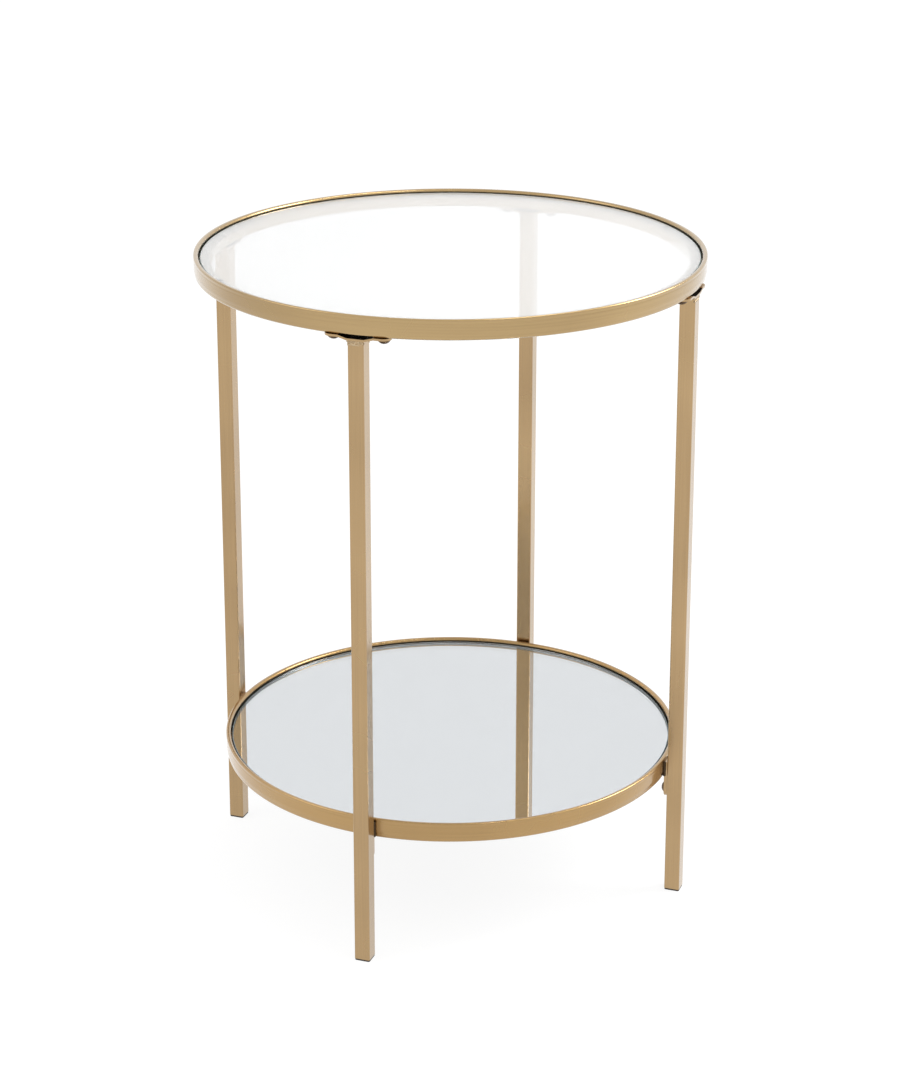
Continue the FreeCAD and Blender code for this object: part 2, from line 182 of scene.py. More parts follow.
# A colour between two, by a noise of the given size; the noise comes out too, for bumps.
def makeCloudTone():
    tree, source, result = newGroup(
        "cloudTone",
        "ShaderNodeTree",
        {
            "Vector": ("NodeSocketVector", None),
            "Size": ("NodeSocketFloat", 100.0),
            "Detail": ("NodeSocketFloat", 3.0),
            "Dark": ("NodeSocketColor", (0.4, 0.4, 0.4, 1)),
            "Light": ("NodeSocketColor", (0.6, 0.6, 0.6, 1)),
        },
        {"Color": "NodeSocketColor", "Height": "NodeSocketFloat"},
    )
    cloud = linked(
        tree,
        "ShaderNodeTexNoise",
        links={
            "Vector": source.outputs["Vector"],
            "Scale": source.outputs["Size"],
            "Detail": source.outputs["Detail"],
        },
    )
    share = linked(
        tree,
        "ShaderNodeMapRange",
        {"From Min": 0.25, "From Max": 0.75},
        {"Value": cloud.outputs["Fac"]},
    )
    mix = linked(
        tree,
        "ShaderNodeMix",
        links={0: share.outputs["Result"], 6: source.outputs["Dark"], 7: source.outputs["Light"]},
        data_type="RGBA",
    )
    tree.links.new(mix.outputs[2], result.inputs["Color"])
    tree.links.new(cloud.outputs["Fac"], result.inputs["Height"])
    return tree


brushedGrain = makeBrushedGrain()
aroundRing = makeAroundRing()
handMarks = makeHandMarks()
cloudTone = makeCloudTone()


def newFinish(name):
    material = bpy.data.materials.new(name)
    material.use_nodes = True
    tree = material.node_tree
    tree.nodes.clear()
    shader = tree.nodes.new("ShaderNodeBsdfPrincipled")
    result = tree.nodes.new("ShaderNodeOutputMaterial")
    tree.links.new(shader.outputs[0], result.inputs["Surface"])
    place = tree.nodes.new("ShaderNodeTexCoord")
    return material, tree, shader, place.outputs["Object"]


def useGroup(tree, group, values, links):
    return linked(tree, "ShaderNodeGroup", values, links, node_tree=group)


def bumped(tree, shader, height, distance, strength):
    bump = linked(
        tree, "ShaderNodeBump", {"Strength": strength, "Distance": distance}, {"Height": height}
    )
    tree.links.new(bump.outputs[0], shader.inputs["Normal"])


def setRoughness(tree, shader, place, size, low, high):
    marks = useGroup(tree, handMarks, {"Size": size, "Low": low, "High": high}, {"Vector": place})
    tree.links.new(marks.outputs[0], shader.inputs["Roughness"])


goldLook = {
    "tones": {  # each part has its own tones; the shelf ring's darker, warmer ones are painted shade for its low place under the top
        "upright": ((0.375, 0.242, 0.108), (0.475, 0.317, 0.148)),
        "topRing": ((0.375, 0.248, 0.102), (0.475, 0.325, 0.140)),
        "shelfRing": ((0.365, 0.222, 0.078), (0.465, 0.290, 0.106)),
    },
    "toneSpread": 0.25,  # how far the grain's tone goes to each side of the middle colour
    "ringRadius": 0.22,
    # colour and roughness of the plates' dip under the ring: painted shade
    "dipShadeColour": (0.012, 0.008, 0.005),
    "dipShadeRough": 0.55,  # added to the lacquer's roughness
    "dipBelow": 566.8 * mm,
    "facesUp": 0.6,
    "markSize": 18.0,
    "smooth": 0.25,
    "rough": 0.29,
    "coat": 1.0,
    "coatRough": 0.10,
    "lines": 1500.0,
    "lineLength": 10.0,
    "drift": 7.0,
    "grainDepth": 0.02 * mm,
    "grainStrength": 0.42,
}


# The dip in a plate's upper side, in the gap under the ring, is made near black, dull and without
# coat: painted shade of that gap.
def paintDipShade(tree, shader, place, gold):
    facing = linked(tree, "ShaderNodeTexCoord").outputs["Normal"]
    upward = linked(tree, "ShaderNodeSeparateXYZ", links={0: facing}).outputs["Z"]
    height = linked(tree, "ShaderNodeSeparateXYZ", links={0: place}).outputs["Z"]
    isTop = mathNode(tree, "GREATER_THAN", upward, goldLook["facesUp"])
    isDip = mathNode(tree, "LESS_THAN", height, goldLook["dipBelow"])
    isShadedDip = mathNode(tree, "MULTIPLY", isTop, isDip)
    shadedDip = linked(tree, "ShaderNodeMix", links={0: isShadedDip, 6: gold}, data_type="RGBA")
    shadedDip.inputs[7].default_value = (*goldLook["dipShadeColour"], 1)
    tree.links.new(shadedDip.outputs[2], shader.inputs["Base Color"])
    coatOutsideDip = mathNode(tree, "SUBTRACT", 1.0, isShadedDip)
    tree.links.new(coatOutsideDip, shader.inputs["Coat Weight"])
    marks = shader.inputs["Roughness"].links[0].from_socket
    dull = mathNode(tree, "MULTIPLY_ADD", isShadedDip, goldLook["dipShadeRough"], marks)
    tree.links.new(dull, shader.inputs["Roughness"])


# Brushed steel under a gold lacquer. The brushing runs round a ring or up a leg.
def makeGold(name, tones, withDipShade=False):
    material, tree, shader, place = newFinish(name)
    if tones != "upright":
        ring = useGroup(tree, aroundRing, {"Radius": goldLook["ringRadius"]}, {"Vector": place})
        vector = ring.outputs["Vector"]
    else:
        upright = {"Rotation": (0, math.radians(90), 0)}
        vector = linked(tree, "ShaderNodeMapping", upright, {"Vector": place}).outputs[0]
    grain = useGroup(
        tree,
        brushedGrain,
        {"Lines": goldLook["lines"], "Length": goldLook["lineLength"], "Drift": goldLook["drift"]},
        {"Vector": vector},
    )
    share = linked(
        tree,
        "ShaderNodeMapRange",
        {"From Min": -goldLook["toneSpread"], "From Max": goldLook["toneSpread"]},
        {"Value": grain.outputs["Tone"]},
    )
    mix = linked(tree, "ShaderNodeMix", links={0: share.outputs["Result"]}, data_type="RGBA")
    dark, light = goldLook["tones"][tones]
    mix.inputs[6].default_value = (*dark, 1)
    mix.inputs[7].default_value = (*light, 1)
    tree.links.new(mix.outputs[2], shader.inputs["Base Color"])
    setRoughness(tree, shader, place, goldLook["markSize"], goldLook["smooth"], goldLook["rough"])
    shader.inputs["Metallic"].default_value = 1
    shader.inputs["Coat Weight"].default_value = goldLook["coat"]
    # the plates' dip under the ring gets painted shade
    if withDipShade:
        paintDipShade(tree, shader, place, mix.outputs[2])
    shader.inputs["Coat Roughness"].default_value = goldLook["coatRough"]
    bumped(tree, shader, grain.outputs["Height"], goldLook["grainDepth"], goldLook["grainStrength"])
    return material


refraction = 1.5  # of glass, plastic and rubber alike


# Metal, plastic, glass or rubber whose tone drifts between two colours.
def makeClouded(name, look):
    material, tree, shader, place = newFinish(name)
    cloud = useGroup(
        tree,
        cloudTone,
        {
            "Size": look["size"],
            "Detail": look.get("detail", 3.0),
            "Dark": (*look["dark"], 1),
            "Light": (*look["light"], 1),
        },
        {"Vector": place},
    )
    tree.links.new(cloud.outputs["Color"], shader.inputs["Base Color"])
    setRoughness(tree, shader, place, look["markSize"], look["smooth"], look["rough"])
    shader.inputs["Metallic"].default_value = look.get("metallic", 0)
    shader.inputs["Transmission Weight"].default_value = look.get("clear", 0)
    shader.inputs["IOR"].default_value = refraction
    if "bump" in look:
        bumped(tree, shader, cloud.outputs["Height"], look["bump"], look.get("bumpStrength", 0.5))
    return material


cloudedLooks = {
    "lipInsidePaintedShade": {  # the rim's inner wall, made dark as painted shade of the narrow gap above the glass
        "dark": (0.055, 0.042, 0.026), "light": (0.12, 0.095, 0.06), "size": 350.0,
        "smooth": 0.32, "rough": 0.5, "markSize": 400.0, "metallic": 1, "bump": 0.05 * mm,
    },
    "weldGold": {
        "dark": (0.20, 0.13, 0.06), "light": (0.72, 0.57, 0.38), "size": 900.0,
        "smooth": 0.12, "rough": 0.24, "markSize": 500.0, "metallic": 1, "bump": 0.2 * mm,
    },
    # near black: painted shade of the gap between the lower ring and each leg
    "tabWeldPaintedShade": {
        "dark": (0.035, 0.024, 0.016), "light": (0.11, 0.075, 0.045), "size": 800.0,
        "smooth": 0.35, "rough": 0.55, "markSize": 500.0, "metallic": 1, "bump": 0.2 * mm,
    },
    "bronzedSteel": {
        "dark": (0.060, 0.038, 0.023), "light": (0.17, 0.105, 0.06), "size": 350.0,
        "smooth": 0.20, "rough": 0.36, "markSize": 400.0, "metallic": 1, "bump": 0.05 * mm,
    },
    "zincSteel": {
        "dark": (0.42, 0.42, 0.40), "light": (0.58, 0.58, 0.56), "size": 350.0,
        "smooth": 0.28, "rough": 0.42, "markSize": 400.0, "metallic": 1, "bump": 0.05 * mm,
    },
    "brownPlastic": {
        "dark": (0.022, 0.014, 0.010), "light": (0.05, 0.034, 0.024), "size": 1400.0,
        "smooth": 0.42, "rough": 0.56, "markSize": 120.0, "bump": 0.08 * mm,
    },
    "mirrorBackPaint": {
        "dark": (0.17, 0.18, 0.18), "light": (0.22, 0.23, 0.23), "size": 1400.0,
        "smooth": 0.5, "rough": 0.62, "markSize": 120.0, "bump": 0.05 * mm,
    },
    "topPaneGlass": {  # under a pale veil, so only part clear
        "dark": (0.955, 0.962, 0.962), "light": (0.965, 0.968, 0.968), "size": 6.0, "detail": 1.0,
        "smooth": 0.0, "rough": 0.001, "markSize": 9.0, "clear": 0.62,
    },
    "glassEdge": {
        "dark": (0.26, 0.36, 0.35), "light": (0.30, 0.41, 0.40), "size": 60.0,
        "smooth": 0.05, "rough": 0.09, "markSize": 60.0, "clear": 0.6,
    },
    "mirrorGlass": {
        "dark": (0.944, 0.955, 0.965), "light": (0.946, 0.956, 0.966), "size": 4.0, "detail": 1.0,
        "smooth": 0.0, "rough": 0.003, "markSize": 9.0, "clear": 1.0,
    },
    "mirrorGlassEdge": {
        "dark": (0.16, 0.22, 0.24), "light": (0.20, 0.27, 0.29), "size": 60.0,
        "smooth": 0.16, "rough": 0.22, "markSize": 60.0, "clear": 0.5,
    },
    "mirrorSilver": {
        "dark": (0.800, 0.812, 0.820), "light": (0.812, 0.824, 0.832), "size": 3.0, "detail": 1.0,
        "smooth": 0.0, "rough": 0.003, "markSize": 10.0, "metallic": 1,
    },
    "clearRubber": {
        "dark": (0.86, 0.87, 0.86), "light": (0.89, 0.90, 0.89), "size": 120.0,
        "smooth": 0.2, "rough": 0.26, "markSize": 120.0, "clear": 0.8,
    },
}
goldUp = makeGold("satinGoldUpright", "upright")
# the plates' finish, with painted shade in the dip under the ring
goldPlate = makeGold("satinGoldPlate", "upright", True)
ringGold = {
    "top_ring": makeGold("satinGoldTopRing", "topRing"),
    "shelf_ring": makeGold("satinGoldShelfRing", "shelfRing"),
}
finishes = {name: makeClouded(name, look) for name, look in cloudedLooks.items()}
print("finishes made")


# Puts a mesh in the scene with its finishes, the body that carries it and the solids it stands for.
def newPiece(name, mesh, pieceFinishes, body, replaced=()):
    piece = bpy.data.objects.new(name, mesh)
    bpy.context.scene.collection.objects.link(piece)
    marks = [face.material_index for face in mesh.polygons]
    mesh.materials.clear()  # this also clears the marks
    for finish in pieceFinishes:
        mesh.materials.append(finish)
    mesh.polygons.foreach_set("material_index", marks)
    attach(piece, body)
    if replaced:
        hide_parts(*replaced)


# Smooth faces with a sharp edge wherever two meet at more than the angle.
def shadeSmooth(mesh, degrees=32):
    form = bmesh.new()
    form.from_mesh(mesh)
    bmesh.ops.recalc_face_normals(form, faces=form.faces)
    for face in form.faces:
        face.smooth = len(face.verts) <= 4  # a disc's wide flat sides stay flat
    for edge in form.edges:
        meets = len(edge.link_faces) == 2
        edge.smooth = meets and edge.calc_face_angle(0) < math.radians(degrees)
    form.to_mesh(mesh)
    form.free()
    return mesh


# Points of a closed outline whose corners (x, y, radius) are rounded.
def roundedLoop(corners, steps=5):
    points = []
    count = len(corners)
    for index, (x, y, radius) in enumerate(corners):
        here = Vector((x, y))
        before = (Vector(corners[index - 1][:2]) - here).normalized()
        after = (Vector(corners[(index + 1) % count][:2]) - here).normalized()
        half = before.angle(after) / 2
        run = radius / math.tan(half)
        centre = here + (before + after).normalized() * (radius / math.sin(half))
        start = here + before * run - centre
        stop = here + after * run - centre
        for step in range(steps + 1):
            points.append(centre + start.slerp(stop, step / steps).normalized() * radius)
    return points


# Runs a Geometry Nodes tree on a start mesh; the result is a plain mesh in one finish.
def grown(name, start, tree, values):
    holder = bpy.data.objects.new(name + "Start", start)
    bpy.context.scene.collection.objects.link(holder)
    modifier = holder.modifiers.new(name, "NODES")
    modifier.node_group = tree
    inputs = [item for item in tree.interface.items_tree if item.in_out == "INPUT"]
    sockets = {item.name: item.identifier for item in inputs}
    for label, value in values.items():
        modifier[sockets[label]] = value
    bpy.context.view_layer.update()
    seen = holder.evaluated_get(bpy.context.evaluated_depsgraph_get())
    mesh = bpy.data.meshes.new_from_object(seen)
    mesh.name = name
    mesh.polygons.foreach_set("material_index", [0] * len(mesh.polygons))
    bpy.data.objects.remove(holder)
    return mesh


def pathMesh(name, points, closed):
    mesh = bpy.data.meshes.new(name)
    count = len(points)
    edges = [(i, (i + 1) % count) for i in range(count if closed else count - 1)]
    mesh.from_pydata([tuple(point) for point in points], edges, [])
    return mesh


def turnedPath(points, degrees):
    turn = Matrix.Rotation(math.radians(degrees), 3, "Z")
    return [turn @ Vector(point) for point in points]


# Ends a geometry tree: real geometry in the finish that was asked for.
def finishTree(tree, source, result, geometry):
    real = linked(tree, "GeometryNodeRealizeInstances", links={0: geometry})
    painted = linked(
        tree,
        "GeometryNodeSetMaterial",
        links={"Geometry": real.outputs[0], "Material": source.outputs["Finish"]},
    )
    tree.links.new(painted.outputs[0], result.inputs[0])
    return tree


# Turns a closed section, given as points, about Z into a ring of quads.
def makeTurnedSection():
    tree, source, result = newGroup(
        "turnedSection",
        "GeometryNodeTree",
        {
            "Section": ("NodeSocketGeometry", None),
            "Around": ("NodeSocketInt", 256),
            "Finish": ("NodeSocketMaterial", None),
        },
        {"Ring": "NodeSocketGeometry"},
    )
    section, around = source.outputs["Section"], source.outputs["Around"]
    size = linked(tree, "GeometryNodeAttributeDomainSize", links={0: section}, component="MESH")
    count = size.outputs["Point Count"]
    rows = mathNode(tree, "ADD", count, 1.0)
    columns = mathNode(tree, "ADD", around, 1.0)
    grid = linked(
        tree, "GeometryNodeMeshGrid", links={"Vertices X": columns, "Vertices Y": rows}
    )
    index = linked(tree, "GeometryNodeInputIndex").outputs[0]
    column = mathNode(tree, "FLOOR", mathNode(tree, "DIVIDE", index, rows), 0.0)
    row = mathNode(tree, "MODULO", mathNode(tree, "MODULO", index, rows), count)
    position = linked(tree, "GeometryNodeInputPosition")
    corner = linked(
        tree,
        "GeometryNodeSampleIndex",
        links={"Geometry": section, "Value": position.outputs[0], "Index": row},
        data_type="FLOAT_VECTOR",
        domain="POINT",
    )
    angle = mathNode(tree, "MULTIPLY", mathNode(tree, "DIVIDE", column, around), math.tau)
    placed = linked(
        tree,
        "ShaderNodeVectorRotate",
        links={"Vector": corner.outputs[0], "Angle": angle},
        rotation_type="Z_AXIS",
    )
    bent = linked(
        tree,
        "GeometryNodeSetPosition",
        links={"Geometry": grid.outputs["Mesh"], "Position": placed.outputs[0]},
    )
    closed = linked(
        tree, "GeometryNodeMergeByDistance", {"Distance": 1e-6}, {"Geometry": bent.outputs[0]}
    )
    return finishTree(tree, source, result, closed.outputs[0])


# Overlapping puddles of weld along a path, each a little different.
def makeWeldBead():
    tree, source, result = newGroup(
        "weldBead",
        "GeometryNodeTree",
        {
            "Path": ("NodeSocketGeometry", None),
            "Spacing": ("NodeSocketFloat", 0.0012),
            "Puddle": ("NodeSocketFloat", 0.0013),
            "Smallest": ("NodeSocketFloat", 0.8),
            "Seed": ("NodeSocketInt", 1),
            "Finish": ("NodeSocketMaterial", None),
        },
        {"Bead": "NodeSocketGeometry"},
    )
    curve = linked(tree, "GeometryNodeMeshToCurve", links={0: source.outputs["Path"]})
    spaced = linked(
        tree,
        "GeometryNodeResampleCurve",
        links={"Curve": curve.outputs[0], "Length": source.outputs["Spacing"]},
        mode="LENGTH",
    )
    puddle = linked(
        tree,
        "GeometryNodeMeshIcoSphere",
        {"Subdivisions": 3},
        {"Radius": source.outputs["Puddle"]},
    )
    smooth = linked(tree, "GeometryNodeSetShadeSmooth", links={"Geometry": puddle.outputs["Mesh"]})
    size = linked(
        tree,
        "FunctionNodeRandomValue",
        {3: 1.0},
        {2: source.outputs["Smallest"], "Seed": source.outputs["Seed"]},
        data_type="FLOAT",
    )
    spots = linked(
        tree,
        "GeometryNodeInstanceOnPoints",
        links={
            "Points": spaced.outputs[0],
            "Instance": smooth.outputs[0],
            "Scale": size.outputs[1],
        },
    )
    return finishTree(tree, source, result, spots.outputs[0])


# Copies a fastener to each point, facing away from the table's axis if asked, each spun by chance.
def makeFastenerRow():
    tree, source, result = newGroup(
        "fastenerRow",
        "GeometryNodeTree",
        {
            "Points": ("NodeSocketGeometry", None),
            "Fastener": ("NodeSocketObject", None),
            "Radial": ("NodeSocketBool", False),
            "Seed": ("NodeSocketInt", 1),
            "Finish": ("NodeSocketMaterial", None),
        },
        {"Row": "NodeSocketGeometry"},
    )
    part = linked(
        tree,
        "GeometryNodeObjectInfo",
        links={"Object": source.outputs["Fastener"]},
        transform_space="ORIGINAL",
    )
    position = linked(tree, "GeometryNodeInputPosition")
    outward = linked(
        tree,
        "ShaderNodeVectorMath",
        {1: (1, 1, 0)},
        {0: position.outputs[0]},
        operation="MULTIPLY",
    )
    facing = linked(
        tree,
        "GeometryNodeSwitch",
        {"False": (0, 0, 1)},
        {"Switch": source.outputs["Radial"], "True": outward.outputs[0]},
        input_type="VECTOR",
    )
    aligned = linked(
        tree, "FunctionNodeAlignRotationToVector", links={"Vector": facing.outputs[0]}, axis="Z"
    )
    spin = linked(
        tree,
        "FunctionNodeRandomValue",
        {2: 0.0, 3: math.tau},
        {"Seed": source.outputs["Seed"]},
        data_type="FLOAT",
    )
    spun = linked(
        tree, "FunctionNodeAxisAngleToRotation", {"Axis": (0, 0, 1)}, {"Angle": spin.outputs[1]}
    )
    turned = linked(
        tree,
        "FunctionNodeRotateRotation",
        links={"Rotation": aligned.outputs[0], "Rotate By": spun.outputs[0]},
        rotation_space="LOCAL",
    )
    spots = linked(
        tree,
        "GeometryNodeInstanceOnPoints",
        links={
            "Points": source.outputs["Points"],
            "Instance": part.outputs["Geometry"],
            "Rotation": turned.outputs[0],
        },
    )
    return finishTree(tree, source, result, spots.outputs[0])


turnedSection = makeTurnedSection()
weldBead = makeWeldBead()
fastenerRow = makeFastenerRow()
print("geometry trees made")


ringForm = {
    "around": 288,
    "width": 15 * mm,
    "lip": 4.3 * mm,
    "lipOuterRound": 1.2 * mm,
    "lipInnerRound": 2.1 * mm,
    "lowerRound": 2.4 * mm,  # the bent lower corner, outside
    "leanHeight": 6.5 * mm,  # below this the outer face leans inwards
    "tuckUnder": 0.9 * mm,  # as far as this at the bottom
    "bendRound": 9.0 * mm,
    "innerRound": 0.8 * mm,
    "ledgeRound": 0.3 * mm,
    "rimToLedge": 9 * mm,
    "beadDepth": 3.1 * mm,  # the rim's bead ends in a soft groove this far down
    "beadGroove": 0.18 * mm,
    "hemHeight": 4.0 * mm,  # the lower edge's finer groove, up from the bottom
    "hemGroove": 0.08 * mm,
    "hemHalf": 0.6 * mm,
    "grooveHalf": 1.1 * mm,
    "grooveShoulder": 3.6 * mm,
    "grooveBottom": 3.0 * mm,
    "jointTurns": {"top_ring": (52, 233), "shelf_ring": (52, 252)},  # where the halves are welded
    "jointPuddle": 0.7 * mm,
    "jointSpacing": 0.45 * mm,
    "jointSink": 0.58 * mm,  # puddles' middles behind the surface
    "lipTolerance": 0.15 * mm,  # a face this near the lip's inside belongs to it
}


# The outer face's radius at a height above the ring's bottom.
def faceRadius(radius, height):
    lean = max(0, 1 - height / ringForm["leanHeight"])
    return radius - ringForm["tuckUnder"] * lean


# The corners of a shallow groove round the outer face, from below to above.
def grooveCorners(radius, low, height, half, depth):
    shoulder = ringForm["grooveShoulder"] * half / ringForm["grooveHalf"]
    bottom = ringForm["grooveBottom"] * half / ringForm["grooveHalf"]
    return [
        (faceRadius(radius, height - half), low + height - half, shoulder),
        (faceRadius(radius, height) - depth, low + height, bottom),
        (faceRadius(radius, height + half), low + height + half, shoulder),
    ]


# A hollow rolled section with an upright lip and a ledge inside it for a disc.
def makeRolledRing(name, node):
    low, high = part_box(node)
    radius = high.x
    wall = radius - ringForm["width"]
    lipInside = radius - ringForm["lip"]
    ledge = high.z - ringForm["rimToLedge"]
    beadHeight = high.z - low.z - ringForm["beadDepth"]
    corners = [
        (wall, low.z, ringForm["innerRound"]),
        (radius - ringForm["tuckUnder"], low.z, ringForm["lowerRound"]),
        *grooveCorners(
            radius, low.z, ringForm["hemHeight"], ringForm["hemHalf"], ringForm["hemGroove"]
        ),
        (radius, low.z + ringForm["leanHeight"], ringForm["bendRound"]),
        *grooveCorners(
            radius, low.z, beadHeight, ringForm["grooveHalf"], ringForm["beadGroove"]
        ),
        (radius, high.z, ringForm["lipOuterRound"]),
        (lipInside, high.z, ringForm["lipInnerRound"]),
        (lipInside, ledge, ringForm["ledgeRound"]),
        (wall, ledge, ringForm["innerRound"]),
    ]
    section = pathMesh(name + "Section", [(r, 0, z) for r, z in roundedLoop(corners)], True)
    values = {"Around": ringForm["around"], "Finish": ringGold[node]}
    mesh = grown(name, section, turnedSection, values)
    coats = [ringGold[node], finishes["lipInsidePaintedShade"]]
    newPiece(name, shadeSmooth(mesh), coats, "table", [node])
    for face in mesh.polygons:
        reach = math.hypot(face.center.x, face.center.y)
        onLip = abs(reach - lipInside) < ringForm["lipTolerance"]
        # faces on the lip's inner wall take the painted shade
        if onLip and face.center.z < high.z - ringForm["lipInnerRound"]:
            face.material_index = 1


makeRolledRing("topRingShell", "top_ring")
makeRolledRing("shelfRingShell", "shelf_ring")
print("rings rolled")


paneForm = {
    "around": 256,
    "edgeRound": 1.0 * mm,
    "edgeSteps": 4,
    "silverDepth": 0.25 * mm,
    "silverRound": 0.06 * mm,
    "airGap": 0.02 * mm,
}


# A closed disc with softened edges. marks gives the slots of its top, its edge and its underside.
def addDisc(form, radius, low, high, marks, edgeRound):
    steps = paneForm["edgeSteps"]
    ladder = []
    for step in range(steps + 1):
        turn = math.radians(90 * step / steps)
        reach = radius - edgeRound + edgeRound * math.sin(turn)
        ladder.append((reach, low + edgeRound - edgeRound * math.cos(turn)))
    ladder += [(r, low + high - z) for r, z in reversed(ladder)]
    around = paneForm["around"]
    turns = [math.tau * i / around for i in range(around)]
    loops = []
    for r, z in ladder:
        loops.append([form.verts.new((r * math.cos(t), r * math.sin(t), z)) for t in turns])
    for lower, upper in zip(loops, loops[1:]):
        for i in range(around):
            after = (i + 1) % around
            face = form.faces.new((lower[i], lower[after], upper[after], upper[i]))
            face.material_index = marks[1]
    form.faces.new(loops[0][::-1]).material_index = marks[2]
    form.faces.new(loops[-1]).material_index = marks[0]


def meshOf(name, form):
    mesh = bpy.data.meshes.new(name)
    form.to_mesh(mesh)
    form.free()
    return mesh


def makeTopPane():
    low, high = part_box("top_glass")
    form = bmesh.new()
    addDisc(form, high.x, low.z, high.z, (0, 1, 0), paneForm["edgeRound"])
    mesh = shadeSmooth(meshOf("topPane", form))
    paneFinishes = [finishes["topPaneGlass"], finishes["glassEdge"]]
    newPiece("topPane", mesh, paneFinishes, "top_glass", ["top_glass"])


# Glass over silver; the silver's back is painted.
def makeShelfMirror():
    low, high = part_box("shelf_mirror")
    silverTop = low.z + paneForm["silverDepth"]
    edgeRound = paneForm["edgeRound"]
    form = bmesh.new()
    addDisc(form, high.x, silverTop + paneForm["airGap"], high.z, (0, 1, 0), edgeRound)
    addDisc(form, high.x - edgeRound, low.z, silverTop, (2, 3, 3), paneForm["silverRound"])
    mesh = shadeSmooth(meshOf("shelfMirrorPane", form))
    layers = ("mirrorGlass", "mirrorGlassEdge", "mirrorSilver", "mirrorBackPaint")
    mirrorFinishes = [finishes[layer] for layer in layers]
    replaced = ["shelf_mirror"]
    newPiece("shelfMirrorPane", mesh, mirrorFinishes, "shelf_mirror", replaced)


makeTopPane()
makeShelfMirror()
print("glass and mirror cut")


weldForm = {
    "legSpacing": 1.4 * mm,
    "legPuddle": 1.3 * mm,
    "legSmallest": 0.72,
    "legStagger": 0.8 * mm,
    "legReach": 6.0 * mm,  # to each side of the leg's middle
    "legRows": (0.7 * mm, 2.1 * mm, 3.4 * mm),  # under the plate
    "legSink": 0.85 * mm,  # puddles' middles behind the leg's face
    "tabSpacing": 1.2 * mm,
    "tabPuddle": 1.5 * mm,
    "tabSmallest": 0.75,
    "tabSink": 0.4 * mm,
    "tabStart": 2 * mm,  # above the lower ring's underside
    "tabStop": 1 * mm,  # below the tab's top
    "tabSeedStep": 7,
    "jointSpacing": ringForm["jointSpacing"],
    "jointPuddle": ringForm["jointPuddle"],
    "jointSmallest": 0.93,
    "jointSeeds": (40, 41),
}


def layBead(name, points, degrees, size, seed, finish):
    path = pathMesh(name + "Path", turnedPath(points, degrees), False)
    values = {
        "Spacing": weldForm[size + "Spacing"],
        "Puddle": weldForm[size + "Puddle"],
        "Smallest": weldForm[size + "Smallest"],
        "Seed": seed,
        "Finish": finish,
    }
    bead = grown(name, path, weldBead, values)
    newPiece(name, bead, [finish], "table")


# Each leg is welded to its plate on its outer and inner face, each tab to the lower ring.
def makeWelds():
    legLow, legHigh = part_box("leg_front")
    tabLow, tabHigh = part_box("tab_front")
    shelfLow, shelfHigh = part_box("shelf_ring")
    reach, sink, shift = (weldForm[key] for key in ("legReach", "legSink", "legStagger"))
    rows = [legHigh.z - drop for drop in weldForm["legRows"]]
    for seed, (side, degrees) in enumerate(legTurns.items(), start=3):
        for place, y in (("outer", legLow.y + sink), ("inner", legHigh.y - sink)):
            line = []
            for z in rows:
                reach, shift = -reach, -shift
                line += [(reach + shift, y, z), (-reach + shift, y, z)]
            layBead(f"legWeld_{side}_{place}", line, degrees, "leg", seed, finishes["weldGold"])
        y = tabHigh.y - weldForm["tabSink"]
        for hand, x in (("a", tabLow.x), ("b", tabHigh.x)):
            start, stop = shelfLow.z + weldForm["tabStart"], tabHigh.z - weldForm["tabStop"]
            line, tabSeed = [(x, y, start), (x, y, stop)], seed * weldForm["tabSeedStep"]
            # the tab welds are near black, as painted shade of the gap between ring and leg
            shadedWeld = finishes["tabWeldPaintedShade"]
            layBead(f"tabWeld_{side}_{hand}", line, degrees, "tab", tabSeed, shadedWeld)


# Each ring is two halves, butt-welded. The front joint is dressed flush but for its lower end.
def makeRingJoints():
    sink, puddle = ringForm["jointSink"], ringForm["jointPuddle"]
    seeds = weldForm["jointSeeds"]
    for node, (front, back) in ringForm["jointTurns"].items():
        low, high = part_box(node)
        out, up = high.x - sink, high.z - puddle
        height = ringForm["lowerRound"]
        foot = (0, -faceRadius(out, height), low.z + height)
        inner = high.x - ringForm["lip"] + sink
        lowEnd = [(0, -out + ringForm["lowerRound"], low.z + sink), foot]
        over = [(0, -out, low.z + ringForm["leanHeight"]), (0, -out, up - puddle)]
        over += [(0, -out + puddle, up), (0, -inner, up)]
        layBead(f"{node}Joint_front", lowEnd, front, "joint", seeds[0], ringGold[node])
        layBead(f"{node}Joint_back", [foot, *over], back, "joint", seeds[1], ringGold[node])


makeWelds()
makeRingJoints()
print("welds laid")


screwForm = {
    "around": 24,
    "head": 12 * mm,
    "headHeight": 4.4 * mm,
    "shank": 6 * mm,
    "length": 8.8 * mm,
    "socket": 4 * mm,
    "socketDepth": 2.4 * mm,
}
boltForm = {
    "around": 24,
    "head": 11 * mm,
    "headHeight": 3.4 * mm,
    "shank": 6 * mm,
    "length": 12 * mm,
    "socket": 4 * mm,
    "socketDepth": 2.0 * mm,
}
domeForm = {
    "shankChamfer": 0.4 * mm,
    "rimWidth": 0.1 * mm,
    "rimHeight": 0.12 * mm,
    "socketLand": 0.5 * mm,  # flat left round the socket
    "crownSteps": 7,
    "drillPoint": 0.3 * mm,
    "pole": 0.0001 * mm,  # the ends' radius, closed by merging
    "mergeWithin": 0.001 * mm,
    "sharpOver": 40,  # degrees
}
fastenerPlaces = {
    "plateScrewInset": 7 * mm,
    "plateThickness": 1.8 * mm,
    "boltDrop": 12 * mm,
    "screwSeed": 5,
    "boltSeed": 9,
}


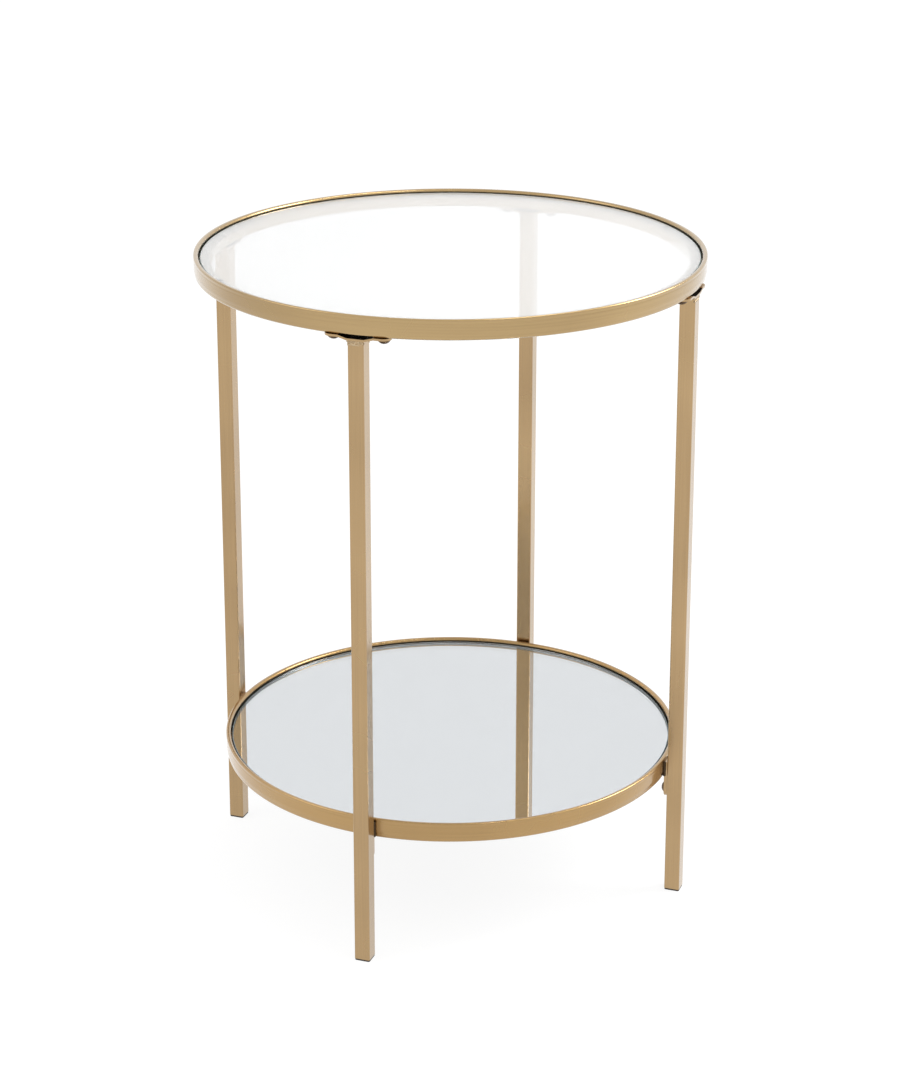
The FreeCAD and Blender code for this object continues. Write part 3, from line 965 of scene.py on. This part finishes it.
# A dome-head fastener along +Z: the head's underside at zero, the shank above it.
def makeDomeHead(name, size):
    around = size["around"]
    rise, reach = size["headHeight"], size["head"] / 2
    shank, length, socket = size["shank"] / 2, size["length"], size["socket"] / 2
    edge, pole, steps = (domeForm[key] for key in ("shankChamfer", "pole", "crownSteps"))
    ball = (reach * reach + rise * rise) / (2 * rise)
    ladder = [(pole, length, False), (shank - edge, length, False), (shank, length - edge, False)]
    ladder += [(shank, 0, False), (reach - domeForm["rimWidth"], 0, False)]
    ladder.append((reach, -domeForm["rimHeight"], False))
    crownAt = socket + domeForm["socketLand"]
    for step in range(1, steps + 1):
        r = reach + (crownAt - reach) * step / steps
        ladder.append((r, ball - rise - math.sqrt(max(0, ball * ball - r * r)), False))
    top = ladder[-1][1]
    depth = top + size["socketDepth"]
    ladder += [(socket, top, True), (socket, depth, True)]
    ladder.append((pole, depth + domeForm["drillPoint"], False))
    form = bmesh.new()
    loops = []
    for r, z, isHexagon in ladder:
        loop = []
        for i in range(around):
            turn = math.tau * i / around
            wide = r / math.cos(turn % (math.pi / 3) - math.pi / 6) if isHexagon else r
            loop.append(form.verts.new((wide * math.cos(turn), wide * math.sin(turn), z)))
        loops.append(loop)
    for first, second in zip(loops, loops[1:]):
        for i in range(around):
            after = (i + 1) % around
            form.faces.new((first[i], second[i], second[after], first[after]))
    bmesh.ops.remove_doubles(form, verts=form.verts, dist=domeForm["mergeWithin"])
    return bpy.data.objects.new(name, shadeSmooth(meshOf(name, form), domeForm["sharpOver"]))


def placeFasteners(name, size, points, radial, node, seed):
    part = makeDomeHead(name + "One", size)
    bpy.context.scene.collection.objects.link(part)
    start = pathMesh(name + "Points", points, False)
    finish = finishes["bronzedSteel"]
    values = {"Fastener": part, "Radial": radial, "Seed": seed, "Finish": finish}
    mesh = grown(name, start, fastenerRow, values)
    bpy.data.objects.remove(part)
    newPiece(name, mesh, [finish], "table", [node])


def makeFasteners():
    plateLow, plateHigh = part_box("plate_front")
    ringLow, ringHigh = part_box("top_ring")
    shelfLow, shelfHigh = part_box("shelf_ring")
    along = plateHigh.x - fastenerPlaces["plateScrewInset"]
    out = math.sqrt((ringHigh.x - ringForm["width"] / 2) ** 2 - along ** 2)
    seat = ringLow.z - fastenerPlaces["plateThickness"]
    bolt = (0, -shelfHigh.x, shelfLow.z - fastenerPlaces["boltDrop"])
    screwSpots, boltSpots = [], []
    for degrees in legTurns.values():
        screwSpots += turnedPath([(-along, -out, seat), (along, -out, seat)], degrees)
        boltSpots += turnedPath([bolt], degrees)
    screwSeed, boltSeed = fastenerPlaces["screwSeed"], fastenerPlaces["boltSeed"]
    placeFasteners("plateScrewSet", screwForm, screwSpots, False, "plate_screws", screwSeed)
    placeFasteners("shelfBoltSet", boltForm, boltSpots, True, "shelf_bolts", boltSeed)


makeFasteners()
print("fasteners set")


# The solids that show as they are get their finish in their own slots.
def paint(node, finish):
    for slotHere in nodes[node].material_slots:
        slotHere.material = finish


for side in legTurns:
    paint("leg_" + side, goldUp)
    paint("plate_" + side, goldPlate)
    paint("tab_" + side, goldUp)
    paint("foot_" + side, finishes["brownPlastic"])
paint("glass_pads", finishes["clearRubber"])
paint("mirror_pads", finishes["clearRubber"])
paint("ring_nuts", finishes["zincSteel"])
paint("leg_nuts", finishes["zincSteel"])
print("solids painted")


stageLook = {
    "floorSize": 16,
    "floorGlow": 0.90,  # with the shaded part below it makes the white of the background
    "floorShade": 0.17,
    "paper": 0.80,  # the sheet that throws light back on matt surfaces
    "overhead": 0.95,  # the sky's strength on matt surfaces, high up and low down
    "horizon": 0.08,
    "lowEnds": 0.1,  # up to this height of a unit direction the sky is the horizon's
    "highStarts": 0.8,
}


# One for a ray from the lens, off metal or through glass, which sees the background; else zero.
def straightRays(tree):
    rays = linked(tree, "ShaderNodeLightPath")
    clear = mathNode(
        tree, "MAXIMUM", rays.outputs["Is Camera Ray"], rays.outputs["Is Transmission Ray"]
    )
    return mathNode(tree, "MAXIMUM", clear, rays.outputs["Is Glossy Ray"])


# A plain pale sheet that stays white in the picture but keeps the table's soft shadow.
def makeFloor():
    half = stageLook["floorSize"] / 2
    corners = [(-half, -half, 0), (half, -half, 0), (half, half, 0), (-half, half, 0)]
    mesh = bpy.data.meshes.new("floorSheet")
    mesh.from_pydata(corners, [], [(0, 1, 2, 3)])
    floor = bpy.data.objects.new("floorSheet", mesh)
    bpy.context.scene.collection.objects.link(floor)
    material = bpy.data.materials.new("paperWhite")
    material.use_nodes = True
    tree = material.node_tree
    tree.nodes.clear()
    glow = {"Color": (1, 1, 1, 1), "Strength": stageLook["floorGlow"]}
    seen = linked(tree, "ShaderNodeEmission", glow)
    shade = linked(tree, "ShaderNodeBsdfDiffuse", {"Color": (*(stageLook["floorShade"],) * 3, 1)})
    picture = linked(tree, "ShaderNodeAddShader", links={0: seen.outputs[0], 1: shade.outputs[0]})
    paper = linked(tree, "ShaderNodeBsdfDiffuse", {"Color": (*(stageLook["paper"],) * 3, 1)})
    mixed = linked(
        tree,
        "ShaderNodeMixShader",
        links={0: straightRays(tree), 1: paper.outputs[0], 2: picture.outputs[0]},
    )
    linked(tree, "ShaderNodeOutputMaterial", links={"Surface": mixed.outputs[0]})
    mesh.materials.append(material)


# White where the lens, metal or glass looks, and a soft light from above for the rest.
def makeWorld():
    world = bpy.data.worlds.new("studio")
    bpy.context.scene.world = world
    world.use_nodes = True
    tree = world.node_tree
    tree.nodes.clear()
    direction = linked(tree, "ShaderNodeTexCoord")
    parts = linked(tree, "ShaderNodeSeparateXYZ", links={0: direction.outputs["Generated"]})
    fromAbove = linked(
        tree,
        "ShaderNodeMapRange",
        {
            "From Min": stageLook["lowEnds"],
            "From Max": stageLook["highStarts"],
            "To Min": stageLook["horizon"],
            "To Max": stageLook["overhead"],
        },
        {"Value": parts.outputs["Z"]},
        interpolation_type="SMOOTHSTEP",
    )
    strength = linked(
        tree, "ShaderNodeMix", {3: 1.0}, {0: straightRays(tree), 2: fromAbove.outputs[0]}
    )
    sky = linked(
        tree, "ShaderNodeBackground", {"Color": (1, 1, 1, 1)}, {"Strength": strength.outputs[0]}
    )
    linked(tree, "ShaderNodeOutputWorld", links={"Surface": sky.outputs[0]})


softboxes = {
    "overhead": {"place": (0.50, 0.10, 2.1), "size": (1.50, 0.12), "power": 6},
    "keyBackRight": {"place": (1.75, 1.0, 1.7), "size": (1.2, 1.2), "power": 40},
    "fillLeft": {"place": (-1.8, -1.2, 1.8), "size": (1.4, 1.4), "power": 8},
}
softboxAim = Vector((0, 0, 0.35))


def makeLights():
    for name, box in softboxes.items():
        light = bpy.data.lights.new(name, "AREA")
        light.shape = "RECTANGLE"
        light.size, light.size_y = box["size"]
        light.energy = box["power"]
        lamp = bpy.data.objects.new(name, light)
        lamp.location = box["place"]
        lamp.rotation_euler = (softboxAim - lamp.location).to_track_quat("-Z", "Y").to_euler()
        bpy.context.scene.collection.objects.link(lamp)


shot = {
    "azimuth": 20.056,  # degrees to the right of the front
    "distance": 2.3662,  # from the table's axis, level
    "height": 1.2080,
    "pitch": 18.055,  # degrees downwards
    "focal": 2784.2,  # pixels
    "centre": (450.44, 409.0),  # pixels, where the lens axis meets the picture
    "picture": (907, 1077),
    "sensor": 36,
}


def makeCamera():
    data = bpy.data.cameras.new("shotCamera")
    camera = bpy.data.objects.new("shotCamera", data)
    bpy.context.scene.collection.objects.link(camera)
    bpy.context.scene.camera = camera
    width, height = shot["picture"]
    data.sensor_width = shot["sensor"]
    data.lens = shot["focal"] / height * shot["sensor"]
    data.shift_x = (width / 2 - shot["centre"][0]) / height
    data.shift_y = (shot["centre"][1] - height / 2) / height
    turn, pitch = math.radians(shot["azimuth"]), math.radians(shot["pitch"])
    level = Vector((-math.sin(turn), math.cos(turn), 0))
    camera.location = level * -shot["distance"] + Vector((0, 0, shot["height"]))
    ahead = level * math.cos(pitch) + Vector((0, 0, -math.sin(pitch)))
    camera.rotation_euler = ahead.to_track_quat("-Z", "Y").to_euler()


makeFloor()
makeWorld()
makeLights()
makeCamera()
bpy.context.scene.view_settings.view_transform = "Standard"
print("stage set")
